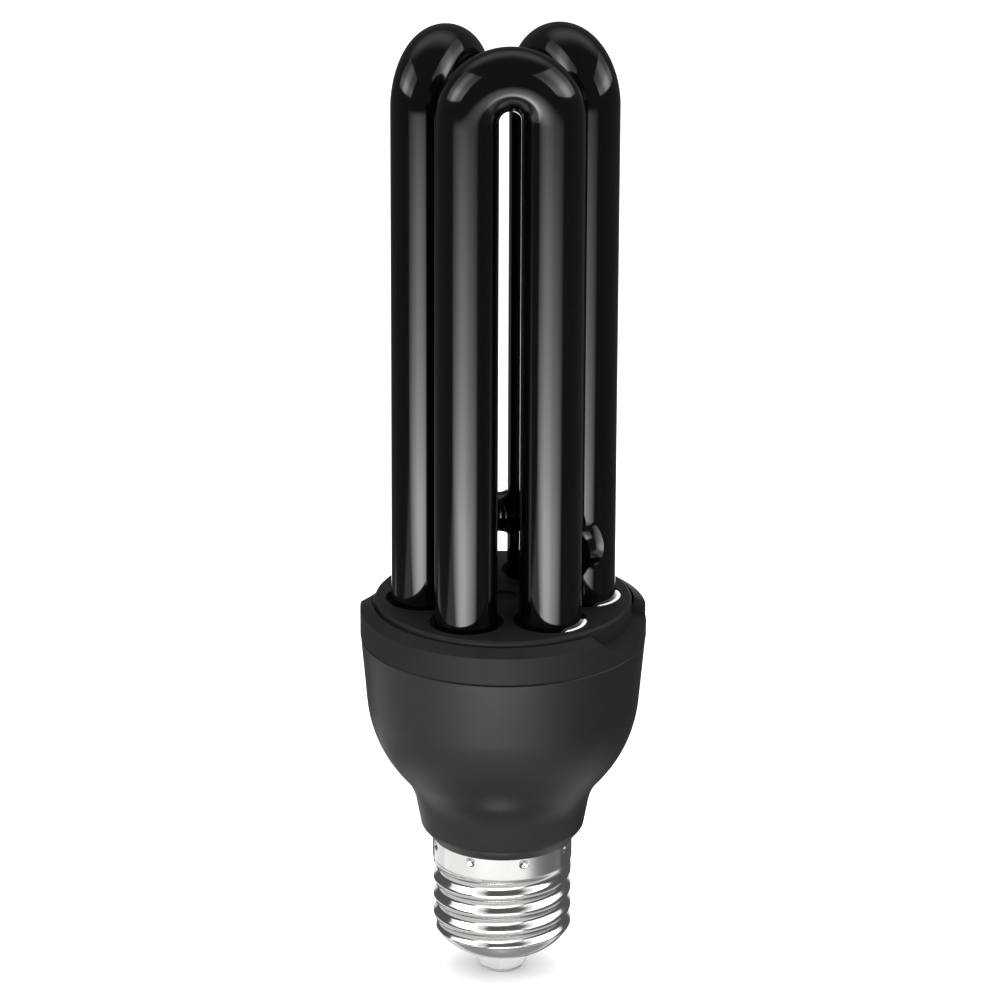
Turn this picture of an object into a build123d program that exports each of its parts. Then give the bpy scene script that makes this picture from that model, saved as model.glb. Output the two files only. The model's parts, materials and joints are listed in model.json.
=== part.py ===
from build123d import *
from math import cos, radians, sin, tan
import os

# Compact fluorescent black-light lamp with an E27 screw cap, in millimetres.
# Z runs up the lamp's axis, z = 0 is the contact at the end of the cap, and -Y is the front.

# Screw cap
thread_radius = 13.1
thread_pitch = 3.629
thread_depth = 0.95
groove_mouth = 2.7
groove_root = 0.8
groove_start_height = 7.75
groove_turns = 3.8
groove_clear = 0.3
shell_wall = 0.6
band_radius = 13.2
band_foot_height = 23.2
shell_top_height = 27.5
shell_step_height = 23.2
shell_shoulder_height = 9.5
shell_shoulder_bulge = (10.3, 6.2)
shell_mouth_radius = 6.0
shell_mouth_height = 4.1
shell_lip_height = 5.1
shell_lip_radius = 7.2
shell_throat = (10.2, 7.2)
insulator_tip_radius = 4.3
insulator_flange = 2.0
contact_radius = 3.9
contact_thickness = 0.9
contact_edge = 0.4
contact_pin_radius = 1.0
contact_pin_height = 8.0
stake_count = 8
stake_turn = -72.0
stake_height = 26.45
stake_ball = 1.2
stake_depth = 0.42

# Ballast housing
seam_height = 68.3
housing_rim_radius = 26.7
bowl_draft = 5.0
bowl_side = 12.8
bowl_round = 25.3
bowl_turn = 37.1
neck_cove = 11.5
neck_turn = 31.7
neck_length = 4.7
neck_edge = 1.5
neck_edge_turn = 32.0
seam_edge = 0.25
spigot_clearance = 0.05
spigot_gap = 0.3
neck_bore = 10.9
bowl_inside = ((10.9, 28.5), (13.9, 31.0), (14.7, 35.5), (18.0, 41.0), (22.2, 48.0))
board_pocket_radius = 24.0
board_ledge_radius = 22.4

# Tube plate
plate_radius = 26.8
plate_top_height = 75.85
plate_thickness = 2.8
plate_disc_radius = 24.0
plate_disc_edge = 0.4
plate_groove_width = 0.6
plate_groove_height = 73.4
skirt_clearance = 0.1
skirt_wall = 1.3
rim_edge_height = 73.6
rim_fall = 32.0
notch_fall = 14.0
notch_scoop = 7.0
notch_runs = ((-36.0, 41.0, 71.2), (151.0, 24.0, 71.8))
gate_radius = 2.6
gate_depth = 0.4

# Discharge tube
tube_radius = 5.8
leg_spacing = 15.6
bend_plane = 13.0
cluster_turn = 4.0
bend_top_heights = (185.3, 184.3, 184.3)
leg_end_height = 66.0
leg_end_edge = 1.5
bridge_radius = 3.75
bridge_height = 87.7
leg_hole_radius = 6.85
cement_top_height = 75.45
filament_spacing = 4.0
filament_radius = 0.3

# Circuit board and what hangs under it: places are on the board, lengths run down from it
board_radius = 23.6
board_thickness = 1.6
board_ledge_height = 60.4
board_notch_radius = 2.0
wire_radius = 0.35
choke_place = (11.6, 0)
choke_core_size = (16.0, 4.8, 14.4)
choke_window = (3.85, 10.2)
choke_leg = 4.0
bobbin_wall = 0.6
bobbin_flange = (11.4, 12.0, 0.8)
winding_inset = 0.4
winding_corner = 2.0
smoothing_place = (-10.5, 4.0)
smoothing_radius = 5.0
smoothing_length = 20.0
smoothing_crimp = 0.6
resonant_place = (1.5, 14.5)
resonant_size = (11.0, 5.0, 9.0)
coupling_place = (1.5, -15.5)
coupling_size = (9.0, 4.5, 8.0)
film_corner = 1.2
toroid_place = (-1.5, -7.6)
toroid_outer = 4.6
toroid_inner = 2.4
toroid_height = 4.8
toroid_coil = 0.6
toroid_coil_arc = 42.0
toroid_coil_turns = (20, 140, 260)
transistor_places = ((12.5, 10.5), (12.5, -10.5))
transistor_size = (8.0, 3.0, 11.0)
transistor_stand = 3.0
transistor_lead = (0.8, 0.5)
transistor_lead_spacing = 2.3
transistor_hole_radius = 1.6
transistor_hole_drop = 3.2
diode_places = ((-17.5, -2.5), (-16.0, -6.5), (-13.2, -10.0), (-9.6, -12.8))
diode_radius = 1.35
diode_length = 5.0
trigger_place = (-6.2, -16.4)
trigger_radius = 1.0
trigger_length = 4.0
resistor_places = ((-2.6, 7.6), (1.2, 7.6), (18.8, 7.2), (18.8, -7.2))
resistor_radius = 1.15
resistor_length = 6.0
standing_lead = 1.5
inductor_place = (-9.0, 14.5)
inductor_radius = 3.9
inductor_waist = 3.2
inductor_length = 8.0
inductor_flange = 1.4
fuse_radius = 1.9
fuse_span = (12.0, 21.0)
line_lead_turn = -150.0
line_lead_radius = 9.5
line_lead_foot = 19.0
line_lead_bend = 2.0

bend_radius = leg_spacing / 2
plate_underside = plate_top_height - plate_thickness
board_top = board_ledge_height + board_thickness
board_face = Plane.XY.offset(board_ledge_height)

# The middle of each U bend, as a direction from the lamp's axis: front, rear right, rear left.
# The front bend stands a little taller than the others.
bend_turns = [turn + cluster_turn for turn in (-90, 30, 150)]


def around(turn, radius, height):
    """A point at a turn about the lamp's axis."""
    return Vector(radius * cos(radians(turn)), radius * sin(radians(turn)), height)


def upright(turn, origin=(0, 0, 0)):
    """An upright plane, with x pointing out at a turn and y up."""
    return Plane(origin=origin, x_dir=around(turn, 1, 0), z_dir=around(turn - 90, 1, 0))


def bend_frame(turn):
    """The plane of one U bend, with x along the bend and y up."""
    return Plane(
        origin=around(turn, bend_plane, 0), x_dir=around(turn + 90, 1, 0), z_dir=around(turn, 1, 0)
    )


def leg_places():
    """The middle of every leg on the plate."""
    return [
        tuple(bend_frame(turn).from_local_coords((side * bend_radius, 0, 0)))[:2]
        for turn in bend_turns
        for side in (-1, 1)
    ]


legs = leg_places()

os.makedirs("parts", exist_ok=True)


# Black glass discharge tube: three U bends joined by two bridges near the plate
with BuildPart() as discharge_tube:
    for turn, top_height in zip(bend_turns, bend_top_heights):
        frame = bend_frame(turn)
        bend_height = top_height - tube_radius - bend_radius
        with BuildLine(frame) as bend_path:
            rise = Line((-bend_radius, leg_end_height), (-bend_radius, bend_height))
            bend = JernArc(rise @ 1, rise % 1, bend_radius, -180)
            Line(bend @ 1, (bend_radius, leg_end_height))
        with BuildSketch(Plane(origin=frame.from_local_coords((-bend_radius, leg_end_height, 0)))):
            Circle(tube_radius)
        sweep(path=bend_path.wire())
    leg_ends = discharge_tube.faces().sort_by(Axis.Z)[: len(legs)]
    chamfer(leg_ends.edges(), leg_end_edge)
    for start, end in ((1, 2), (3, 4)):
        first = Vector(*legs[start], bridge_height)
        last = Vector(*legs[end], bridge_height)
        with BuildSketch(Plane(origin=first, z_dir=last - first)):
            Circle(bridge_radius)
        extrude(amount=(last - first).length)
discharge_tube.part.label = "discharge_tube"
export_step(discharge_tube.part, "parts/discharge_tube.step")


# White cement between the legs and their holes
with BuildPart() as tube_cement:
    with BuildSketch(Plane.XY.offset(plate_underside)):
        with Locations(*legs):
            Circle(leg_hole_radius)
            Circle(tube_radius, mode=Mode.SUBTRACT)
    extrude(amount=cement_top_height - plate_underside)
tube_cement.part.label = "tube_cement"
export_step(tube_cement.part, "parts/tube_cement.step")


# Notches in the plate's rim: each starts as a finger scoop and runs on to an upright end
with BuildPart() as rim_notches:
    for turn, arc, height in notch_runs:
        fall = radians(notch_fall)
        out = around(turn, cos(fall), -sin(fall))
        scoop_middle = around(turn, plate_radius, height) + around(turn, sin(fall), cos(fall)) * notch_scoop
        with BuildSketch(Plane(origin=scoop_middle, z_dir=out)):
            Circle(notch_scoop)
        extrude(amount=notch_scoop, both=True)
        with BuildSketch(upright(turn)):
            Polygon(
                (plate_disc_radius, height + (plate_radius - plate_disc_radius) * tan(fall)),
                (plate_radius + notch_scoop, height - notch_scoop * tan(fall)),
                (plate_radius + notch_scoop, plate_top_height),
                (plate_disc_radius, plate_top_height),
                align=None,
            )
        revolve(axis=Axis.Z, revolution_arc=arc)
    with BuildSketch(Plane.XY.offset(seam_height)):
        Circle(plate_disc_radius)
    extrude(amount=2 * notch_scoop + plate_top_height - seam_height, mode=Mode.SUBTRACT)


# Tube plate: a notched rim around a raised disc with leg holes, and a skirt that holds the board down
skirt_radius = board_pocket_radius - skirt_clearance
rim_inner_radius = plate_disc_radius + plate_groove_width
with BuildPart() as tube_plate:
    with BuildSketch(Plane.XZ):
        Polygon(
            (rim_inner_radius, seam_height),
            (plate_radius - seam_edge, seam_height),
            (plate_radius, seam_height + seam_edge),
            (plate_radius, rim_edge_height),
            (rim_inner_radius, rim_edge_height + (plate_radius - rim_inner_radius) * tan(radians(rim_fall))),
            align=None,
        )
    revolve(axis=Axis.Z)
    with BuildSketch(Plane.XZ):
        Polygon(
            (0, plate_underside),
            (skirt_radius - skirt_wall, plate_underside),
            (skirt_radius - skirt_wall, board_top),
            (skirt_radius, board_top),
            (skirt_radius, seam_height),
            (rim_inner_radius, seam_height),
            (rim_inner_radius, plate_groove_height),
            (plate_disc_radius, plate_groove_height),
            (plate_disc_radius, plate_top_height - plate_disc_edge),
            (plate_disc_radius - plate_disc_edge, plate_top_height),
            (0, plate_top_height),
            align=None,
        )
    revolve(axis=Axis.Z)
    add(rim_notches.part, mode=Mode.SUBTRACT)
    with BuildSketch(Plane.XY.offset(plate_underside)):
        with Locations(*legs):
            Circle(leg_hole_radius)
    extrude(amount=plate_thickness, mode=Mode.SUBTRACT)
    with BuildSketch(Plane.XY.offset(plate_top_height)):
        Circle(gate_radius)
    extrude(amount=-gate_depth, mode=Mode.SUBTRACT)
tube_plate.part.label = "tube_plate"
export_step(tube_plate.part, "parts/tube_plate.step")


# Ballast housing: a bowl that sweeps in to the neck, with a spigot inside the screw shell
spigot_radius = band_radius - shell_wall - spigot_clearance
spigot_end_height = shell_step_height + spigot_gap
with BuildPart() as ballast_housing:
    with BuildSketch(Plane.XZ):
        with BuildLine() as bowl_outline:
            side_foot = (
                housing_rim_radius - bowl_side * tan(radians(bowl_draft)),
                seam_height - bowl_side,
            )
            side = Line((housing_rim_radius, seam_height - seam_edge), side_foot)
            belly = JernArc(side @ 1, side % 1, bowl_round, -bowl_turn)
            cove = JernArc(belly @ 1, belly % 1, neck_cove, neck_turn)
            neck = Line(cove @ 1, cove @ 1 + (cove % 1) * neck_length)
            lip = JernArc(neck @ 1, neck % 1, neck_edge, -neck_edge_turn)
            Polyline(
                lip @ 1,
                (band_radius, shell_top_height),
                (spigot_radius, shell_top_height),
                (spigot_radius, spigot_end_height),
                (neck_bore, spigot_end_height),
                *bowl_inside,
                (board_ledge_radius, board_ledge_height),
                (board_pocket_radius, board_ledge_height),
                (board_pocket_radius, seam_height),
                (housing_rim_radius - seam_edge, seam_height),
                side @ 0,
            )
        make_face()
    revolve(axis=Axis.Z)
ballast_housing.part.label = "ballast_housing"
export_step(ballast_housing.part, "parts/ballast_housing.step")


# Screw shell: rolled thread, plain band at the top and a rounded shoulder at the tip
with BuildPart() as screw_shell:
    with BuildSketch(Plane.XZ):
        with BuildLine():
            shoulder = ThreePointArc(
                (shell_mouth_radius, shell_mouth_height),
                shell_shoulder_bulge,
                (thread_radius, shell_shoulder_height),
            )
            Polyline(
                shoulder @ 1,
                (thread_radius, band_foot_height),
                (band_radius, band_foot_height + band_radius - thread_radius),
                (band_radius, shell_top_height),
                (band_radius - shell_wall, shell_top_height),
                (band_radius - shell_wall, shell_step_height),
                (thread_radius - thread_depth - shell_wall, shell_step_height),
                (thread_radius - thread_depth - shell_wall, shell_shoulder_height + shell_wall),
                shell_throat,
                (shell_lip_radius, shell_lip_height),
                (shell_mouth_radius, shell_lip_height),
                shoulder @ 0,
            )
        make_face()
    revolve(axis=Axis.Z)
    with BuildLine():
        groove_path = Helix(
            thread_pitch, thread_pitch * groove_turns, thread_radius, center=(0, 0, groove_start_height)
        )
    flank = (groove_mouth - groove_root) / 2 / thread_depth
    with BuildSketch(Plane.XZ):
        with Locations((thread_radius, groove_start_height)):
            Polygon(
                (-thread_depth, -groove_root / 2),
                (groove_clear, -groove_mouth / 2 - groove_clear * flank),
                (groove_clear, groove_mouth / 2 + groove_clear * flank),
                (-thread_depth, groove_root / 2),
                align=None,
            )
    sweep(path=groove_path, is_frenet=True, mode=Mode.SUBTRACT)
    # Staking dents hold the shell on the housing's spigot
    with Locations((0, 0, stake_height)):
        with PolarLocations(band_radius + stake_ball - stake_depth, stake_count, start_angle=stake_turn):
            Sphere(stake_ball, mode=Mode.SUBTRACT)
screw_shell.part.label = "screw_shell"
export_step(screw_shell.part, "parts/screw_shell.step")


# White insulator: a tapered boss through the shell's mouth, with a flange that rests on its lip
with BuildPart() as cap_insulator:
    with BuildSketch(Plane.XZ):
        Polygon(
            (contact_pin_radius, contact_thickness),
            (insulator_tip_radius, contact_thickness),
            (shell_mouth_radius, shell_mouth_height),
            (shell_mouth_radius, shell_lip_height),
            (shell_lip_radius, shell_lip_height),
            (shell_lip_radius, shell_lip_height + insulator_flange),
            (contact_pin_radius, shell_lip_height + insulator_flange),
            align=None,
        )
    revolve(axis=Axis.Z)
cap_insulator.part.label = "cap_insulator"
export_step(cap_insulator.part, "parts/cap_insulator.step")


# Centre contact: a disc with a rounded edge and a pin up through the insulator
with BuildPart() as centre_contact:
    Cylinder(contact_radius, contact_thickness, align=(Align.CENTER, Align.CENTER, Align.MIN))
    fillet(centre_contact.edges().sort_by(Axis.Z)[0], contact_edge)
    with BuildSketch(Plane.XY.offset(contact_thickness)):
        Circle(contact_pin_radius)
    extrude(amount=contact_pin_height - contact_thickness)
centre_contact.part.label = "centre_contact"
export_step(centre_contact.part, "parts/centre_contact.step")


# Filament leads: two wires from each electrode leg to the board
with BuildPart() as filament_leads:
    for turn, side in ((bend_turns[0], -1), (bend_turns[2], 1)):
        frame = bend_frame(turn)
        with BuildSketch(Plane.XY.offset(board_top)):
            for shift in (-filament_spacing / 2, filament_spacing / 2):
                place = frame.from_local_coords((side * bend_radius + shift, 0, 0))
                with Locations((place.X, place.Y)):
                    Circle(filament_radius)
        extrude(amount=leg_end_height - board_top)
filament_leads.part.label = "filament_leads"
export_step(filament_leads.part, "parts/filament_leads.step")


# Circuit board, held between the housing's ledge and the plate's skirt
with BuildPart() as circuit_board:
    with BuildSketch(board_face):
        Circle(board_radius)
        with PolarLocations(board_radius, 2):
            Circle(board_notch_radius, mode=Mode.SUBTRACT)
    extrude(amount=board_thickness)
circuit_board.part.label = "circuit_board"
export_step(circuit_board.part, "parts/circuit_board.step")


# Choke: a ferrite core with two windows, a bobbin on its middle leg and the winding
core_width, core_depth, core_height = choke_core_size
window_width, window_height = choke_window
choke_middle = board_ledge_height - core_height / 2
core_plane = upright(0, (*choke_place, choke_middle))
with BuildPart() as choke_core:
    with BuildSketch(core_plane):
        Rectangle(core_width, core_height)
        with GridLocations(choke_leg + window_width, 0, 2, 1):
            Rectangle(window_width, window_height, mode=Mode.SUBTRACT)
    extrude(amount=core_depth / 2, both=True)
choke_core.part.label = "choke_core"
export_step(choke_core.part, "parts/choke_core.step")

spool_width = choke_leg + 2 * bobbin_wall
spool_depth = core_depth + 2 * bobbin_wall
flange_width, flange_depth, flange_thickness = bobbin_flange
spool_plane = Plane(origin=(*choke_place, choke_middle))
with BuildPart() as choke_bobbin:
    with BuildSketch(spool_plane):
        Rectangle(spool_width, spool_depth)
    extrude(amount=window_height / 2, both=True)
    for end in (-1, 1):
        with BuildSketch(spool_plane.offset(end * window_height / 2)):
            Rectangle(flange_width, flange_depth)
        extrude(amount=-end * flange_thickness)
    with BuildSketch(spool_plane):
        Rectangle(choke_leg, core_depth)
    extrude(amount=window_height / 2, both=True, mode=Mode.SUBTRACT)
choke_bobbin.part.label = "choke_bobbin"
export_step(choke_bobbin.part, "parts/choke_bobbin.step")

with BuildPart() as choke_winding:
    with BuildSketch(spool_plane):
        RectangleRounded(flange_width - winding_inset, flange_depth - winding_inset, winding_corner)
        Rectangle(spool_width, spool_depth, mode=Mode.SUBTRACT)
    extrude(amount=window_height / 2 - flange_thickness, both=True)
choke_winding.part.label = "choke_winding"
export_step(choke_winding.part, "parts/choke_winding.step")


# Smoothing capacitor: an aluminium can with a crimp near its board end
with BuildPart() as smoothing_capacitor:
    with BuildSketch(upright(0, (*smoothing_place, board_ledge_height))):
        Polygon(
            (0, 0),
            (smoothing_radius - smoothing_crimp, 0),
            (smoothing_radius, -smoothing_crimp),
            (smoothing_radius, -2 * smoothing_crimp),
            (smoothing_radius - smoothing_crimp, -3 * smoothing_crimp),
            (smoothing_radius, -4 * smoothing_crimp),
            (smoothing_radius, smoothing_crimp - smoothing_length),
            (smoothing_radius - smoothing_crimp, -smoothing_length),
            (0, -smoothing_length),
            align=None,
        )
    revolve(axis=Axis((*smoothing_place, 0), (0, 0, 1)))
smoothing_capacitor.part.label = "smoothing_capacitor"
export_step(smoothing_capacitor.part, "parts/smoothing_capacitor.step")


# Film capacitors: dipped blocks with rounded corners
with BuildPart() as resonant_capacitor:
    with BuildSketch(board_face):
        with Locations(resonant_place):
            RectangleRounded(resonant_size[0], resonant_size[1], film_corner)
    extrude(amount=-resonant_size[2])
resonant_capacitor.part.label = "resonant_capacitor"
export_step(resonant_capacitor.part, "parts/resonant_capacitor.step")

with BuildPart() as coupling_capacitor:
    with BuildSketch(board_face):
        with Locations(coupling_place):
            RectangleRounded(coupling_size[0], coupling_size[1], film_corner)
    extrude(amount=-coupling_size[2])
coupling_capacitor.part.label = "coupling_capacitor"
export_step(coupling_capacitor.part, "parts/coupling_capacitor.step")


# Drive transformer: a ferrite ring that stands off the board on its three windings
with BuildPart() as drive_toroid:
    with BuildSketch(board_face.offset(-toroid_coil)):
        with Locations(toroid_place):
            Circle(toroid_outer)
            Circle(toroid_inner, mode=Mode.SUBTRACT)
    extrude(amount=-toroid_height)
drive_toroid.part.label = "drive_toroid"
export_step(drive_toroid.part, "parts/drive_toroid.step")

ring_width = toroid_outer - toroid_inner
ring_middle = board_ledge_height - toroid_coil - toroid_height / 2
with BuildPart() as toroid_windings:
    for turn in toroid_coil_turns:
        with BuildSketch(upright(turn, (*toroid_place, ring_middle))):
            with Locations(((toroid_outer + toroid_inner) / 2, 0)):
                Rectangle(ring_width + 2 * toroid_coil, toroid_height + 2 * toroid_coil)
                Rectangle(ring_width, toroid_height, mode=Mode.SUBTRACT)
        revolve(axis=Axis((*toroid_place, 0), (0, 0, 1)), revolution_arc=toroid_coil_arc)
toroid_windings.part.label = "toroid_windings"
export_step(toroid_windings.part, "parts/toroid_windings.step")


# Switching transistors: two flat packages, each on three leads, with a mounting hole
body_width, body_depth, body_height = transistor_size
with BuildPart() as switching_transistors:
    with BuildSketch(board_face.offset(-transistor_stand)):
        with Locations(*transistor_places):
            Rectangle(body_width, body_depth)
    extrude(amount=-body_height)
    with BuildSketch(board_face):
        with Locations(*transistor_places):
            with GridLocations(transistor_lead_spacing, 0, 3, 1):
                Rectangle(*transistor_lead)
    extrude(amount=-transistor_stand)
    hole_height = board_ledge_height - transistor_stand - body_height + transistor_hole_drop
    for place_x, place_y in transistor_places:
        with BuildSketch(Plane(origin=(place_x, place_y, hole_height), z_dir=(0, 1, 0))):
            Circle(transistor_hole_radius)
        extrude(amount=body_depth / 2, both=True, mode=Mode.SUBTRACT)
switching_transistors.part.label = "switching_transistors"
export_step(switching_transistors.part, "parts/switching_transistors.step")


# Parts that stand on the board by one lead
with BuildPart() as rectifier_diodes:
    with BuildSketch(board_face):
        with Locations(*diode_places):
            Circle(wire_radius)
    extrude(amount=-standing_lead)
    with BuildSketch(board_face.offset(-standing_lead)):
        with Locations(*diode_places):
            Circle(diode_radius)
    extrude(amount=-diode_length)
rectifier_diodes.part.label = "rectifier_diodes"
export_step(rectifier_diodes.part, "parts/rectifier_diodes.step")

with BuildPart() as trigger_diode:
    with BuildSketch(board_face):
        with Locations(trigger_place):
            Circle(wire_radius)
    extrude(amount=-standing_lead)
    with BuildSketch(board_face.offset(-standing_lead)):
        with Locations(trigger_place):
            Circle(trigger_radius)
    extrude(amount=-trigger_length)
trigger_diode.part.label = "trigger_diode"
export_step(trigger_diode.part, "parts/trigger_diode.step")

with BuildPart() as base_resistors:
    with BuildSketch(board_face):
        with Locations(*resistor_places):
            Circle(wire_radius)
    extrude(amount=-standing_lead)
    with BuildSketch(board_face.offset(-standing_lead)):
        with Locations(*resistor_places):
            Circle(resistor_radius)
    extrude(amount=-resistor_length)
base_resistors.part.label = "base_resistors"
export_step(base_resistors.part, "parts/base_resistors.step")


# Filter inductor: a drum core with its winding between two flanges
with BuildPart() as filter_inductor:
    with BuildSketch(upright(0, (*inductor_place, board_ledge_height))):
        Polygon(
            (0, 0),
            (inductor_radius, 0),
            (inductor_radius, -inductor_flange),
            (inductor_waist, -inductor_flange),
            (inductor_waist, inductor_flange - inductor_length),
            (inductor_radius, inductor_flange - inductor_length),
            (inductor_radius, -inductor_length),
            (0, -inductor_length),
            align=None,
        )
    revolve(axis=Axis((*inductor_place, 0), (0, 0, 1)))
filter_inductor.part.label = "filter_inductor"
export_step(filter_inductor.part, "parts/filter_inductor.step")


# Fuse resistor on the wire between the centre contact and the board
with BuildPart() as fuse_resistor:
    with BuildSketch(Plane.XZ):
        Polygon(
            (0, contact_pin_height),
            (wire_radius, contact_pin_height),
            (wire_radius, fuse_span[0]),
            (fuse_radius, fuse_span[0]),
            (fuse_radius, fuse_span[1]),
            (wire_radius, fuse_span[1]),
            (wire_radius, board_ledge_height),
            (0, board_ledge_height),
            align=None,
        )
    revolve(axis=Axis.Z)
fuse_resistor.part.label = "fuse_resistor"
export_step(fuse_resistor.part, "parts/fuse_resistor.step")


# Line lead from the board to the inside of the screw shell
shell_bore = thread_radius - thread_depth - shell_wall
with BuildPart() as line_lead:
    with BuildLine(upright(line_lead_turn)) as lead_path:
        FilletPolyline(
            (line_lead_radius, board_ledge_height),
            (line_lead_radius, line_lead_foot),
            (shell_bore, line_lead_foot),
            radius=line_lead_bend,
        )
    with BuildSketch(Plane(origin=around(line_lead_turn, line_lead_radius, board_ledge_height))):
        Circle(wire_radius)
    sweep(path=lead_path.wire())
line_lead.part.label = "line_lead"
export_step(line_lead.part, "parts/line_lead.step")
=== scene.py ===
import json
import math

import bpy
import numpy as np
from mathutils import Matrix, Vector


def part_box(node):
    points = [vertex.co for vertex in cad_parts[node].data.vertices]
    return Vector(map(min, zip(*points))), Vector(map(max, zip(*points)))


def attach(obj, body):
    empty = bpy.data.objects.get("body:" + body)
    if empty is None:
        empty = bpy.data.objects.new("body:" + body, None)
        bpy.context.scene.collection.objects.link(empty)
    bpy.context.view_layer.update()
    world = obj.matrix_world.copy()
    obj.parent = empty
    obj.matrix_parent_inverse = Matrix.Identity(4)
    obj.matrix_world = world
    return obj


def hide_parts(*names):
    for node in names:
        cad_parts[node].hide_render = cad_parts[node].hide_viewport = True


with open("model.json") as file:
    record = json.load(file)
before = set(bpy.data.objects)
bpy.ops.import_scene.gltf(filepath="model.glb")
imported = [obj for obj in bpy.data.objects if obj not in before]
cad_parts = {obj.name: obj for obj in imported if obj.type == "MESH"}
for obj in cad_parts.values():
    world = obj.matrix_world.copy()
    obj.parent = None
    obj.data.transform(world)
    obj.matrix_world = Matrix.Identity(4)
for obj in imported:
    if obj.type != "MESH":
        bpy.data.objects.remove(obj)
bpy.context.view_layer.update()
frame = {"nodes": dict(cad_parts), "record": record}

# Everything below is in metres and degrees, in the lamp's own frame: Z up the axis, -Y the front
MM = 0.001
WELD_GAP = 0.001 * MM
# A point this near to a face belongs to it
SKIN = 0.1 * MM

# Discharge tube
TUBE_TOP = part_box("discharge_tube")[1].z
LEG_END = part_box("discharge_tube")[0].z
TUBE_RADIUS = 5.8 * MM
TUBE_SIDES = 96
TUBE_CREASE = 35
LEG_ROWS = 9
BEND_RADIUS = 7.8 * MM
BEND_PLANE = 13.0 * MM
BEND_TURNS = (-86, 34, 154)
BEND_DROPS = (0, 1.0 * MM, 1.0 * MM)
BEND_STEPS = 72
BRIDGE_HEIGHT = 87.7 * MM
BRIDGE_RADIUS = 3.75 * MM
BRIDGE_FLARE = 3.0 * MM
BRIDGE_REACH = 2.9 * MM
BRIDGE_LEGS = ((1, 2), (3, 4))
BRIDGE_POINTS = 25
BRIDGE_SIDES = 64
BRIDGE_ROWS = 15

# Tube plate and the cement in its leg holes
PLATE_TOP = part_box("tube_plate")[1].z
CEMENT_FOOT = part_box("tube_cement")[0].z
CEMENT_OUTER = 6.85 * MM
CEMENT_CROWN = 0.3 * MM
CEMENT_SINK = 2.6 * MM
CEMENT_POINTS = 9
CEMENT_SIDES = 96
CEMENT_CREASE = 40
# The stretch where a bead fills its hole, by leg: its middle and its half width
CEMENT_PEAKS = {1: (-28, 60), 2: (-22, 78)}

# Screw cap, as rolled from sheet
SHELL_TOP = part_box("screw_shell")[1].z
SHELL_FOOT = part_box("screw_shell")[0].z
SHELL_WALL = 0.6 * MM
SHELL_BORE = 11.55 * MM
SHELL_MOUTH = 6.0 * MM
SHELL_LIP_RADIUS = 7.2 * MM
SHELL_LIP_HEIGHT = 5.1 * MM
SHELL_THROAT = (10.2 * MM, 7.2 * MM)
SHELL_STEPS = 384
SHELL_CREASE = 50
SHOULDER_BULGE = (10.3 * MM, 6.2 * MM)
SHOULDER_TOP = 9.5 * MM
SHOULDER_POINTS = 41
ROW_HEIGHT = 0.1 * MM
THREAD_RADIUS = 13.1 * MM
THREAD_PITCH = 3.629 * MM
THREAD_DEPTH = 0.95 * MM
THREAD_BLEND = 0.12 * MM
# The groove's first height, and the turns it runs for and fades out over
GROOVE_START = 7.75 * MM
GROOVE_TURNS = 4.05
GROOVE_FADE = 0.3
BAND_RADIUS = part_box("screw_shell")[1].x
BAND_FOOT = 23.2 * MM
STAKE_COUNT = 8
STAKE_TURN = -72
STAKE_HEIGHT = 26.45 * MM
STAKE_RADIUS = 0.9 * MM
STAKE_DEPTH = 0.42 * MM


def polar(turn, radius, height):
    """A point at a turn about the lamp's axis."""
    angle = math.radians(turn)
    return Vector((radius * math.cos(angle), radius * math.sin(angle), height))


def leg_points():
    """The middle of every leg, at height zero."""
    points = []
    for turn in BEND_TURNS:
        for side in (-1, 1):
            points.append(polar(turn, BEND_PLANE, 0) + polar(turn + 90, side * BEND_RADIUS, 0))
    return points


def smooth_step(share):
    """Eases a share from 0 to 1, level at both ends."""
    share = np.clip(share, 0, 1)
    return share * share * (3 - 2 * share)


LEGS = leg_points()


# Modelling helpers


def clear_selection():
    bpy.ops.object.select_all(action="DESELECT")


def select_only(*pieces):
    """Selects these pieces alone, with the first as the active one."""
    clear_selection()
    for piece in pieces:
        piece.select_set(True)
    bpy.context.view_layer.objects.active = pieces[0]


def open_for_editing(piece):
    select_only(piece)
    bpy.ops.object.mode_set(mode="EDIT")
    bpy.ops.mesh.select_all(action="SELECT")


def close_shape():
    """Merges seams and poles, turns all faces outwards and leaves edit mode."""
    bpy.ops.mesh.select_all(action="SELECT")
    bpy.ops.mesh.remove_doubles(threshold=WELD_GAP)
    bpy.ops.mesh.normals_make_consistent(inside=False)
    bpy.ops.object.mode_set(mode="OBJECT")


def extrude(step):
    bpy.ops.mesh.extrude_region_move(TRANSFORM_OT_translate={"value": step})


def name_new_piece(name):
    """Takes the primitive that was just added, with its place moved into its mesh."""
    piece = bpy.context.object
    piece.name = name
    piece.data.name = name
    bpy.ops.object.transform_apply(location=True, rotation=True, scale=True)
    return piece


def draw_line(name, points):
    """A run of edges: a plane merged to one point, which is moved to the start and extruded."""
    clear_selection()
    bpy.ops.mesh.primitive_plane_add(size=MM)
    piece = name_new_piece(name)
    open_for_editing(piece)
    bpy.ops.mesh.merge(type="CENTER")
    bpy.ops.transform.translate(value=points[0])
    for start, end in zip(points, points[1:]):
        extrude(Vector(end) - Vector(start))
    return piece


def spin_line(name, points, middle, axis, steps):
    """A turned piece: an outline spun once round an axis, with its seam and poles closed."""
    piece = draw_line(name, points)
    bpy.ops.mesh.select_all(action="SELECT")
    bpy.ops.mesh.spin(steps=steps, angle=math.tau, center=middle, axis=axis)
    close_shape()
    return piece


def join_pieces(pieces):
    select_only(*pieces)
    bpy.ops.object.join()
    return pieces[0]


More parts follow.
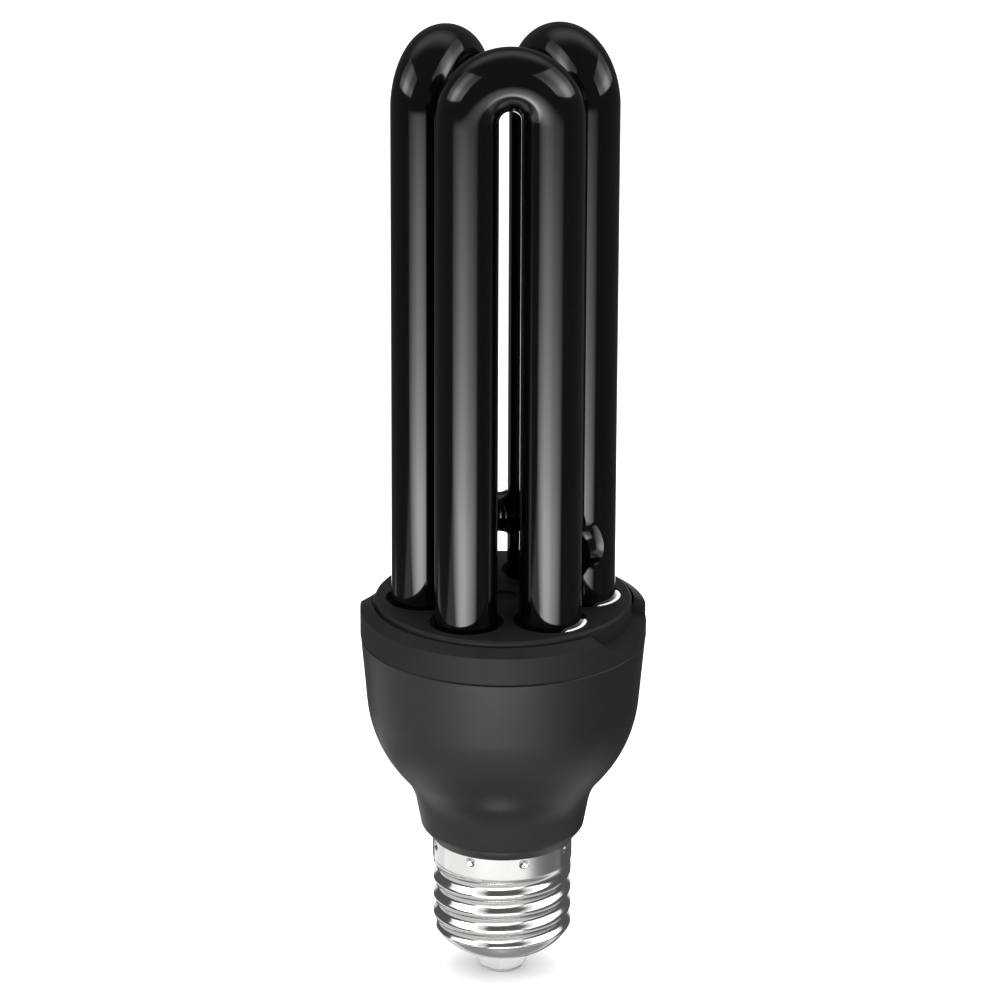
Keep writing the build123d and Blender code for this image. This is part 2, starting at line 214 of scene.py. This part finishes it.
def fuse(piece, other):
    """Unites two closed pieces and removes the second."""
    select_only(piece)
    union = piece.modifiers.new("fuse", "BOOLEAN")
    union.operation = "UNION"
    union.solver = "EXACT"
    union.object = other
    bpy.ops.object.modifier_apply(modifier=union.name)
    bpy.data.objects.remove(other)


def move_points(piece, place):
    """Moves every point of a piece by a formula on arrays of x, y and z."""
    points = np.zeros(len(piece.data.vertices) * 3)
    piece.data.vertices.foreach_get("co", points)
    moved = place(*points.reshape(-1, 3).T)
    piece.data.vertices.foreach_set("co", np.column_stack(moved).ravel())
    piece.data.update()


def shade(piece, angle):
    select_only(piece)
    bpy.ops.object.shade_smooth_by_angle(angle=math.radians(angle))


# Finishes

PIT_DETAIL = 4
PIT_DEPTH = 0.05 * MM
MOTTLE_DETAIL = 2
# How many pits wide one patch of the mottling is
MOTTLE_WIDTH = 24
SMEAR_SCALE = 60
SMEAR_STRETCH = (1, 1, 0.18)
SMEAR_DETAIL = 5
SMEAR_ROUGHNESS = 0.6
# The stretch of the smears' noise that roughness follows
SMEAR_LOW, SMEAR_HIGH = 0.3, 0.7


def value_group(name, outputs, build):
    """A node group with a Scale input and value outputs, read in Object coordinates."""
    group = bpy.data.node_groups.new(name, "ShaderNodeTree")
    group.interface.new_socket("Scale", in_out="INPUT", socket_type="NodeSocketFloat")
    for output in outputs:
        group.interface.new_socket(output, in_out="OUTPUT", socket_type="NodeSocketFloat")
    entry = group.nodes.new("NodeGroupInput")
    leave = group.nodes.new("NodeGroupOutput")
    place = group.nodes.new("ShaderNodeTexCoord")
    build(group, entry.outputs["Scale"], place.outputs["Object"], leave)
    return group


def build_grain(group, scale, place, leave):
    """Fine pits and a slow mottling over them."""
    fine = group.nodes.new("ShaderNodeTexNoise")
    fine.inputs["Detail"].default_value = PIT_DETAIL
    coarse = group.nodes.new("ShaderNodeTexNoise")
    coarse.inputs["Detail"].default_value = MOTTLE_DETAIL
    slower = group.nodes.new("ShaderNodeMath")
    slower.operation = "DIVIDE"
    slower.inputs[1].default_value = MOTTLE_WIDTH
    group.links.new(place, fine.inputs["Vector"])
    group.links.new(place, coarse.inputs["Vector"])
    group.links.new(scale, fine.inputs["Scale"])
    group.links.new(scale, slower.inputs[0])
    group.links.new(slower.outputs["Value"], coarse.inputs["Scale"])
    group.links.new(fine.outputs["Fac"], leave.inputs["Pits"])
    group.links.new(coarse.outputs["Fac"], leave.inputs["Mottle"])


def build_haze(group, scale, place, leave):
    """Handling haze: smears stretched along the lamp."""
    stretch = group.nodes.new("ShaderNodeMapping")
    stretch.inputs["Scale"].default_value = SMEAR_STRETCH
    smear = group.nodes.new("ShaderNodeTexNoise")
    smear.inputs["Detail"].default_value = SMEAR_DETAIL
    smear.inputs["Roughness"].default_value = SMEAR_ROUGHNESS
    group.links.new(place, stretch.inputs["Vector"])
    group.links.new(stretch.outputs["Vector"], smear.inputs["Vector"])
    group.links.new(scale, smear.inputs["Scale"])
    group.links.new(smear.outputs["Fac"], leave.inputs["Smear"])


GRAIN = value_group("surface_grain", ("Pits", "Mottle"), build_grain)
HAZE = value_group("handling_haze", ("Smear",), build_haze)


def make_finish(name, dark, light, rough, grain, bump, sockets=None):
    """One finish: two tones by mottle, roughness by smears, and fine pits as bump."""
    material = bpy.data.materials.new(name)
    material.use_nodes = True
    tree = material.node_tree
    shader = tree.nodes["Principled BSDF"]
    surface = tree.nodes.new("ShaderNodeGroup")
    surface.node_tree = GRAIN
    surface.inputs["Scale"].default_value = grain
    haze = tree.nodes.new("ShaderNodeGroup")
    haze.node_tree = HAZE
    haze.inputs["Scale"].default_value = SMEAR_SCALE
    tone = tree.nodes.new("ShaderNodeMix")
    tone.data_type = "RGBA"
    tone.inputs["A"].default_value = (*dark, 1)
    tone.inputs["B"].default_value = (*light, 1)
    gloss = tree.nodes.new("ShaderNodeMapRange")
    gloss.inputs["From Min"].default_value = SMEAR_LOW
    gloss.inputs["From Max"].default_value = SMEAR_HIGH
    gloss.inputs["To Min"].default_value = rough[0]
    gloss.inputs["To Max"].default_value = rough[1]
    relief = tree.nodes.new("ShaderNodeBump")
    relief.inputs["Strength"].default_value = bump
    relief.inputs["Distance"].default_value = PIT_DEPTH
    tree.links.new(surface.outputs["Mottle"], tone.inputs["Factor"])
    tree.links.new(tone.outputs["Result"], shader.inputs["Base Color"])
    tree.links.new(haze.outputs["Smear"], gloss.inputs["Value"])
    tree.links.new(gloss.outputs["Result"], shader.inputs["Roughness"])
    tree.links.new(surface.outputs["Pits"], relief.inputs["Height"])
    tree.links.new(relief.outputs["Normal"], shader.inputs["Normal"])
    for socket, value in (sockets or {}).items():
        shader.inputs[socket].default_value = value
    return material


# Each finish: its two tones, its range of roughness, its pits to the metre and how deep they look
LOOKS = {
    "black_glass": dict(
        dark=(0.001, 0.001, 0.0012), light=(0.002, 0.002, 0.0022),
        rough=(0.05, 0.09), grain=900, bump=0.02,
    ),
    "black_moulding": dict(
        dark=(0.004, 0.004, 0.004), light=(0.0065, 0.0062, 0.006),
        rough=(0.37, 0.46), grain=5200, bump=0.25, sockets={"Specular IOR Level": 0.47},
    ),
    "dull_moulding": dict(
        dark=(0.004, 0.004, 0.004), light=(0.007, 0.0068, 0.0065),
        rough=(0.56, 0.68), grain=5200, bump=0.35, sockets={"Specular IOR Level": 0.3},
    ),
    "white_cement": dict(
        dark=(0.78, 0.78, 0.75), light=(0.88, 0.88, 0.86),
        rough=(0.7, 0.85), grain=2600, bump=0.6,
    ),
    "nickel_plate": dict(
        dark=(0.70, 0.69, 0.66), light=(0.80, 0.79, 0.77),
        rough=(0.10, 0.18), grain=3000, bump=0.05, sockets={"Metallic": 1.0},
    ),
    "white_insulator": dict(
        dark=(0.80, 0.80, 0.79), light=(0.90, 0.90, 0.89),
        rough=(0.2, 0.3), grain=2000, bump=0.1,
    ),
    "tinned_wire": dict(
        dark=(0.55, 0.55, 0.55), light=(0.70, 0.70, 0.70),
        rough=(0.25, 0.4), grain=3000, bump=0.2, sockets={"Metallic": 1.0},
    ),
    "board_laminate": dict(
        dark=(0.36, 0.24, 0.11), light=(0.48, 0.34, 0.18),
        rough=(0.5, 0.65), grain=2200, bump=0.3,
    ),
    "ferrite": dict(
        dark=(0.06, 0.06, 0.065), light=(0.11, 0.11, 0.12),
        rough=(0.5, 0.7), grain=3000, bump=0.5,
    ),
    "dark_plastic": dict(
        dark=(0.03, 0.03, 0.03), light=(0.05, 0.05, 0.05),
        rough=(0.35, 0.5), grain=4000, bump=0.3,
    ),
    "enamelled_copper": dict(
        dark=(0.42, 0.17, 0.07), light=(0.58, 0.27, 0.12),
        rough=(0.2, 0.35), grain=2500, bump=0.4, sockets={"Metallic": 0.8},
    ),
    "aluminium_can": dict(
        dark=(0.02, 0.02, 0.03), light=(0.05, 0.05, 0.07),
        rough=(0.25, 0.35), grain=2500, bump=0.1,
    ),
    "film_capacitor": dict(
        dark=(0.34, 0.11, 0.05), light=(0.46, 0.18, 0.09),
        rough=(0.2, 0.35), grain=2500, bump=0.2,
    ),
    "pale_floor": dict(
        dark=(0.90, 0.90, 0.90), light=(0.92, 0.92, 0.92),
        rough=(0.8, 0.9), grain=300, bump=0,
    ),
}
FINISHES = {name: make_finish(name, **look) for name, look in LOOKS.items()}


def finish_cad_nodes():
    """Every solid from the frame takes the finish of its own slot, the tube plate a duller one."""
    for part in frame["record"]["subparts"]:
        mesh = frame["nodes"][part["node"]].data
        mesh.materials.clear()
        mesh.materials.append(FINISHES[part["material_slot"]])
    frame["nodes"]["tube_plate"].data.materials[0] = FINISHES["dull_moulding"]


def fit(piece, node, slot):
    """Puts a finished piece in its node's place."""
    piece.data.materials.clear()
    piece.data.materials.append(FINISHES[slot])
    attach(piece, "root")
    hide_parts(node)


finish_cad_nodes()


# Discharge tube


def leg_rises(bend_height):
    """Steps up a leg, with short ones where the bridges join it."""
    near = BRIDGE_RADIUS + BRIDGE_FLARE
    marks = [LEG_END, PLATE_TOP]
    marks += list(np.linspace(BRIDGE_HEIGHT - near, BRIDGE_HEIGHT + near, BRIDGE_ROWS))
    marks += list(np.linspace(BRIDGE_HEIGHT + near, bend_height, LEG_ROWS))[1:]
    return [high - low for low, high in zip(marks, marks[1:])]


def draw_u_tube(turn, drop):
    """One U tube: a disc drawn up one leg, spun over the bend and drawn down the other leg."""
    bend_height = TUBE_TOP - drop - TUBE_RADIUS - BEND_RADIUS
    foot = polar(turn, BEND_PLANE, LEG_END) - polar(turn + 90, BEND_RADIUS, 0)
    clear_selection()
    bpy.ops.mesh.primitive_circle_add(
        vertices=TUBE_SIDES, radius=TUBE_RADIUS, location=foot, fill_type="NGON"
    )
    piece = name_new_piece("u_tube")
    open_for_editing(piece)
    rises = leg_rises(bend_height)
    for rise in rises:
        extrude((0, 0, rise))
    bpy.ops.mesh.spin(
        steps=BEND_STEPS,
        angle=math.pi,
        center=polar(turn, BEND_PLANE, bend_height),
        axis=polar(turn, 1, 0),
    )
    for rise in reversed(rises):
        extrude((0, 0, -rise))
    close_shape()
    return piece


def draw_bridge(first, last):
    """A short neck between two legs, with ends that flare into the glass."""
    middle = (first + last) / 2 + Vector((0, 0, BRIDGE_HEIGHT))
    along = (last - first).normalized()
    outline = [middle - along * BRIDGE_REACH]
    for share in np.linspace(-1, 1, BRIDGE_POINTS):
        reach = share * BRIDGE_REACH
        swell = BRIDGE_FLARE - math.sqrt(BRIDGE_FLARE**2 - reach**2)
        outline.append(middle + along * reach + Vector((0, 0, BRIDGE_RADIUS + swell)))
    outline.append(middle + along * BRIDGE_REACH)
    return spin_line("bridge", outline, middle, along, BRIDGE_SIDES)


def make_glass():
    glass = join_pieces([draw_u_tube(turn, drop) for turn, drop in zip(BEND_TURNS, BEND_DROPS)])
    glass.name = "glass_tubes"
    for first, last in BRIDGE_LEGS:
        fuse(glass, draw_bridge(LEGS[first], LEGS[last]))
    shade(glass, TUBE_CREASE)
    fit(glass, "discharge_tube", "black_glass")


make_glass()


# Cement in the leg holes


def sink_top(x, y, z):
    """Sinks the whole top of a bead in its hole."""
    return x, y, np.where(z > CEMENT_FOOT + SKIN, z - CEMENT_SINK, z)


def sink_but_peak(peak, spread):
    """Sinks the top of a bead, apart from the stretch where it fills its hole."""

    def place(x, y, z):
        turn = np.degrees(np.arctan2(y, x)) - peak
        away = np.abs((turn + 180) % 360 - 180) / spread
        fall = smooth_step(2 * away - 1)
        return x, y, np.where(z > CEMENT_FOOT + SKIN, z - CEMENT_SINK * fall, z)

    return place


def draw_bead(index, leg):
    """A ring of cement round one leg, with a rounded top."""
    inner, outer = TUBE_RADIUS, CEMENT_OUTER
    middle = (inner + outer) / 2
    outline = [(inner, 0, CEMENT_FOOT)]
    for share in np.linspace(-1, 1, CEMENT_POINTS):
        crown = CEMENT_CROWN * (1 - share * share)
        outline.append((middle + share * (outer - middle), 0, PLATE_TOP - CEMENT_CROWN + crown))
    outline += [(outer, 0, CEMENT_FOOT), (inner, 0, CEMENT_FOOT)]
    bead = spin_line("bead", outline, (0, 0, 0), (0, 0, 1), CEMENT_SIDES)
    move_points(bead, sink_but_peak(*CEMENT_PEAKS[index]) if index in CEMENT_PEAKS else sink_top)
    move_points(bead, lambda x, y, z: (x + leg.x, y + leg.y, z))
    return bead


def make_cement():
    cement = join_pieces([draw_bead(index, leg) for index, leg in enumerate(LEGS)])
    cement.name = "cement_beads"
    shade(cement, CEMENT_CREASE)
    fit(cement, "tube_cement", "white_cement")


make_cement()


# Screw cap


def shoulder_point(share):
    """A point on the arc from the mouth over the bulge to the shoulder's top, by share of its turn."""
    start = Vector((SHELL_MOUTH, SHELL_FOOT))
    bulge = Vector(SHOULDER_BULGE)
    end = Vector((THREAD_RADIUS, SHOULDER_TOP))
    a, b = bulge - start, end - start
    cross = 2 * (a.x * b.y - a.y * b.x)
    middle = start + Vector(
        (
            (b.y * a.length_squared - a.y * b.length_squared) / cross,
            (a.x * b.length_squared - b.x * a.length_squared) / cross,
        )
    )
    low = math.atan2(start.y - middle.y, start.x - middle.x)
    high = math.atan2(end.y - middle.y, end.x - middle.x)
    angle = low + share * (high - low)
    return middle + (start - middle).length * Vector((math.cos(angle), math.sin(angle)))


def shell_outline():
    """The shell's wall in section, from its mouth up the outside and down the inside."""
    points = [shoulder_point(share) for share in np.linspace(0, 1, SHOULDER_POINTS)]
    thread_rows = np.arange(SHOULDER_TOP, BAND_FOOT, ROW_HEIGHT)[1:]
    points += [Vector((THREAD_RADIUS, z)) for z in thread_rows]
    band_low = BAND_FOOT + BAND_RADIUS - THREAD_RADIUS
    points += [Vector((BAND_RADIUS, z)) for z in np.arange(band_low, SHELL_TOP, ROW_HEIGHT)]
    points += [
        Vector((BAND_RADIUS, SHELL_TOP)),
        Vector((BAND_RADIUS - SHELL_WALL, SHELL_TOP)),
        Vector((BAND_RADIUS - SHELL_WALL, BAND_FOOT)),
        Vector((SHELL_BORE, BAND_FOOT)),
        Vector((SHELL_BORE, SHOULDER_TOP + SHELL_WALL)),
        Vector(SHELL_THROAT),
        Vector((SHELL_LIP_RADIUS, SHELL_LIP_HEIGHT)),
        Vector((SHELL_MOUTH, SHELL_LIP_HEIGHT)),
        Vector((SHELL_MOUTH, SHELL_FOOT)),
    ]
    return [(point.x, 0, point.y) for point in points]


def shoulder_inside(z):
    """The radius half way through the shoulder's wall, which parts its outside from its inside."""
    share = np.clip((z - SHELL_FOOT) / (SHOULDER_TOP - SHELL_FOOT), 0, 1)
    return SHELL_MOUTH + (SHELL_THROAT[0] - SHELL_MOUTH) * share


def roll_thread(x, y, z):
    """Presses the round thread and the staking dimples into the outside of the shell."""
    radius = np.hypot(x, y)
    turn = np.arctan2(y, x) % math.tau / math.tau
    step = (z - GROOVE_START) / THREAD_PITCH - turn
    nearest = np.floor(step + 0.5)
    strength = smooth_step((GROOVE_TURNS - nearest - turn) / GROOVE_FADE)
    groove = 0.5 + 0.5 * np.cos(math.tau * (step - nearest))
    rolled = THREAD_RADIUS - THREAD_DEPTH * groove * strength
    near = np.clip(1 - np.abs(radius - rolled) / THREAD_BLEND, 0, 1)
    eased = np.minimum(rolled, radius) - near * near * THREAD_BLEND / 4
    on_shoulder = (z < SHOULDER_TOP) & (radius > shoulder_inside(z))
    outside = on_shoulder | (radius > SHELL_BORE + SHELL_WALL)
    threaded = outside & (z < BAND_FOOT) & (strength > 0)
    reach = np.where(threaded, eased, radius)
    for stake in range(STAKE_COUNT):
        angle = math.radians(STAKE_TURN + stake * 360 / STAKE_COUNT)
        across = (np.arctan2(y, x) - angle + math.pi) % math.tau - math.pi
        away = np.hypot(across * BAND_RADIUS, z - STAKE_HEIGHT) / STAKE_RADIUS
        dented = (away < 1) & (radius > BAND_RADIUS - SKIN)
        reach = reach - STAKE_DEPTH * np.where(dented, (1 - away * away) ** 2, 0)
    return x * reach / radius, y * reach / radius, z


def make_shell():
    shell = spin_line("rolled_shell", shell_outline(), (0, 0, 0), (0, 0, 1), SHELL_STEPS)
    move_points(shell, roll_thread)
    shade(shell, SHELL_CREASE)
    fit(shell, "screw_shell", "nickel_plate")


make_shell()


# Stage, camera and light

FLOOR_SIZE = 8

CAMERA_RISE = 20.131
CAMERA_DISTANCE = 1.0
CAMERA_AIM = Vector((-0.000693, 0, 0.094802))
CAMERA_ROLL = 0.232
# Lens and sensor in the camera's own millimetres
CAMERA_LENS = 193.71
CAMERA_SENSOR = 36
CAMERA_NEAR = 0.01

BACKDROP_STRENGTH = 0.1

# Brightness at even steps along a panel: on those below the floor, every 75 mm from right to left
SIDE_RISE = (0.6, 1, 0.6, 0.4, 0.3)
TABLE_STEPS = (0.04, 0.04, 0.04, 0.4, 1, 1, 1, 1, 1, 0.9, 0.8, 0.7, 0.7)
CORNER_STEPS = TABLE_STEPS[6:]
# Brightness every 62.5 mm out from the lamp's axis
TABLE_RINGS = (0.5, 0.15, 0.7, 0.15, 0.8, 1, 0.9, 0.8, 0.7, 0.6, 0.5, 0.4, 0.3, 0.2, 0.1, 0, 0)

# The table and corner panels lie below the floor, which only reflections see through
PANELS = {
    "front_panel": dict(
        place=(-0.04, -0.17, 0.075), aim=(-0.04, 0, 0.075), size=(0.34, 0.15), radiance=11.5,
        across=(0, 0.25, 0.55, 0.8, 0.55, 0.3, 0), up=(0, 0.9, 0.68, 0.45, 0.31, 0.17, 0),
        diffuse=False,
    ),
    "back_panel": dict(
        place=(0, 0.30, 0.035), aim=(0, 0, 0.035), size=(0.34, 0.17), radiance=3,
        across=(0, 0.5, 1, 1, 0.5, 0), up=(0.6, 1, 0.8, 0.5, 0.2),
        diffuse=False,
    ),
    "left_panel": dict(
        place=(-0.77, -0.24, 0.62), aim=(0, 0, 0.02), size=(1.1, 0.6), radiance=6,
        across=(0.2, 0.3, 0.9, 0.4, 0.4), up=SIDE_RISE,
    ),
    "right_panel": dict(
        place=(0.80, -0.14, 0.62), aim=(0, 0, 0.02), size=(1.5, 0.6), radiance=6,
        across=(0.4, 0.4, 0.9, 0.3, 0.2), up=SIDE_RISE,
    ),
    "table_panel": dict(
        place=(0, -0.13, -0.10), aim=(0, -0.13, 0), size=(0.90, 0.46), radiance=1.3,
        across=TABLE_STEPS, ring=TABLE_RINGS,
    ),
    "corner_panel": dict(
        place=(-0.225, 0.175, -0.10), aim=(-0.225, 0.175, 0), size=(0.45, 0.15), radiance=1.0,
        across=CORNER_STEPS, ring=TABLE_RINGS,
    ),
    "soft_panel": dict(
        place=(0, 0.45, 1.1), aim=(0, 0, 0.15), size=(2.4, 1.0), radiance=0.7,
        across=(0, 0.6, 1, 1, 1, 0.6, 0), up=(0, 0.5, 1, 0.5, 0),
    ),
    "top_panel": dict(
        place=(0, 0.5, 2.5), aim=(0, 0.5, 0), size=(6, 6), radiance=2.4, glossy=False,
    ),
}


def lay_floor():
    """A pale floor that takes light and shadow but isn't mirrored in the lamp."""
    clear_selection()
    bpy.ops.mesh.primitive_plane_add(size=FLOOR_SIZE)
    floor = name_new_piece("floor")
    floor.data.materials.append(FINISHES["pale_floor"])
    floor.visible_glossy = False


def set_camera():
    camera = bpy.data.cameras.new("camera")
    camera.lens = CAMERA_LENS
    camera.sensor_width = CAMERA_SENSOR
    camera.clip_start = CAMERA_NEAR
    holder = bpy.data.objects.new("camera", camera)
    rise = math.radians(CAMERA_RISE)
    holder.location = CAMERA_AIM + CAMERA_DISTANCE * Vector((0, -math.cos(rise), math.sin(rise)))
    tilt = Matrix.Rotation(math.pi / 2 - rise, 3, "X")
    roll = Matrix.Rotation(math.radians(CAMERA_ROLL), 3, "Z")
    holder.rotation_euler = (tilt @ roll).to_euler()
    bpy.context.scene.collection.objects.link(holder)
    bpy.context.scene.camera = holder


def face_place(tree):
    """Places on a panel's face: shares across it and up it, and metres from the lamp's axis."""
    face = tree.nodes.new("ShaderNodeNewGeometry")
    sides = tree.nodes.new("ShaderNodeSeparateXYZ")
    flat = tree.nodes.new("ShaderNodeVectorMath")
    flat.operation = "MULTIPLY"
    flat.inputs[1].default_value = (1, 1, 0)
    ring = tree.nodes.new("ShaderNodeVectorMath")
    ring.operation = "LENGTH"
    tree.links.new(face.outputs["Parametric"], sides.inputs["Vector"])
    tree.links.new(face.outputs["Position"], flat.inputs[0])
    tree.links.new(flat.outputs["Vector"], ring.inputs[0])
    return {"across": sides.outputs["X"], "up": sides.outputs["Y"], "ring": ring.outputs["Value"]}


def grade_face(light, grades):
    """Shades a panel's face by brightness at even steps, along two of: across, up, ring."""
    light.use_nodes = True
    tree = light.node_tree
    places = face_place(tree)
    both = tree.nodes.new("ShaderNodeMath")
    both.operation = "MULTIPLY"
    for target, (way, stops) in enumerate(grades.items()):
        curve = tree.nodes.new("ShaderNodeFloatCurve")
        points = curve.mapping.curves[0].points
        points[0].location = (0, stops[0])
        points[-1].location = (1, stops[-1])
        for index, stop in enumerate(stops[1:-1], 1):
            points.new(index / (len(stops) - 1), stop)
        curve.mapping.update()
        tree.links.new(places[way], curve.inputs["Value"])
        tree.links.new(curve.outputs["Value"], both.inputs[target])
    tree.links.new(both.outputs["Value"], tree.nodes["Emission"].inputs["Strength"])


def add_panel(name, place, aim, size, radiance, diffuse=True, glossy=True, **grades):
    """A soft studio panel that faces a point, by how bright its face is."""
    light = bpy.data.lights.new(name, "AREA")
    light.shape = "RECTANGLE"
    light.size, light.size_y = size
    light.energy = radiance * math.pi * size[0] * size[1]
    if grades:
        grade_face(light, grades)
    holder = bpy.data.objects.new(name, light)
    holder.location = place
    holder.rotation_euler = (Vector(aim) - Vector(place)).to_track_quat("-Z", "Y").to_euler()
    holder.visible_camera = False
    holder.visible_diffuse = diffuse
    holder.visible_glossy = glossy
    bpy.context.scene.collection.objects.link(holder)


def set_light():
    world = bpy.data.worlds.new("studio")
    world.use_nodes = True
    backdrop = world.node_tree.nodes["Background"]
    backdrop.inputs["Color"].default_value = (1, 1, 1, 1)
    backdrop.inputs["Strength"].default_value = BACKDROP_STRENGTH
    bpy.context.scene.world = world
    bpy.context.scene.view_settings.view_transform = "Standard"
    for name, panel in PANELS.items():
        add_panel(name, **panel)


lay_floor()
set_camera()
set_light()
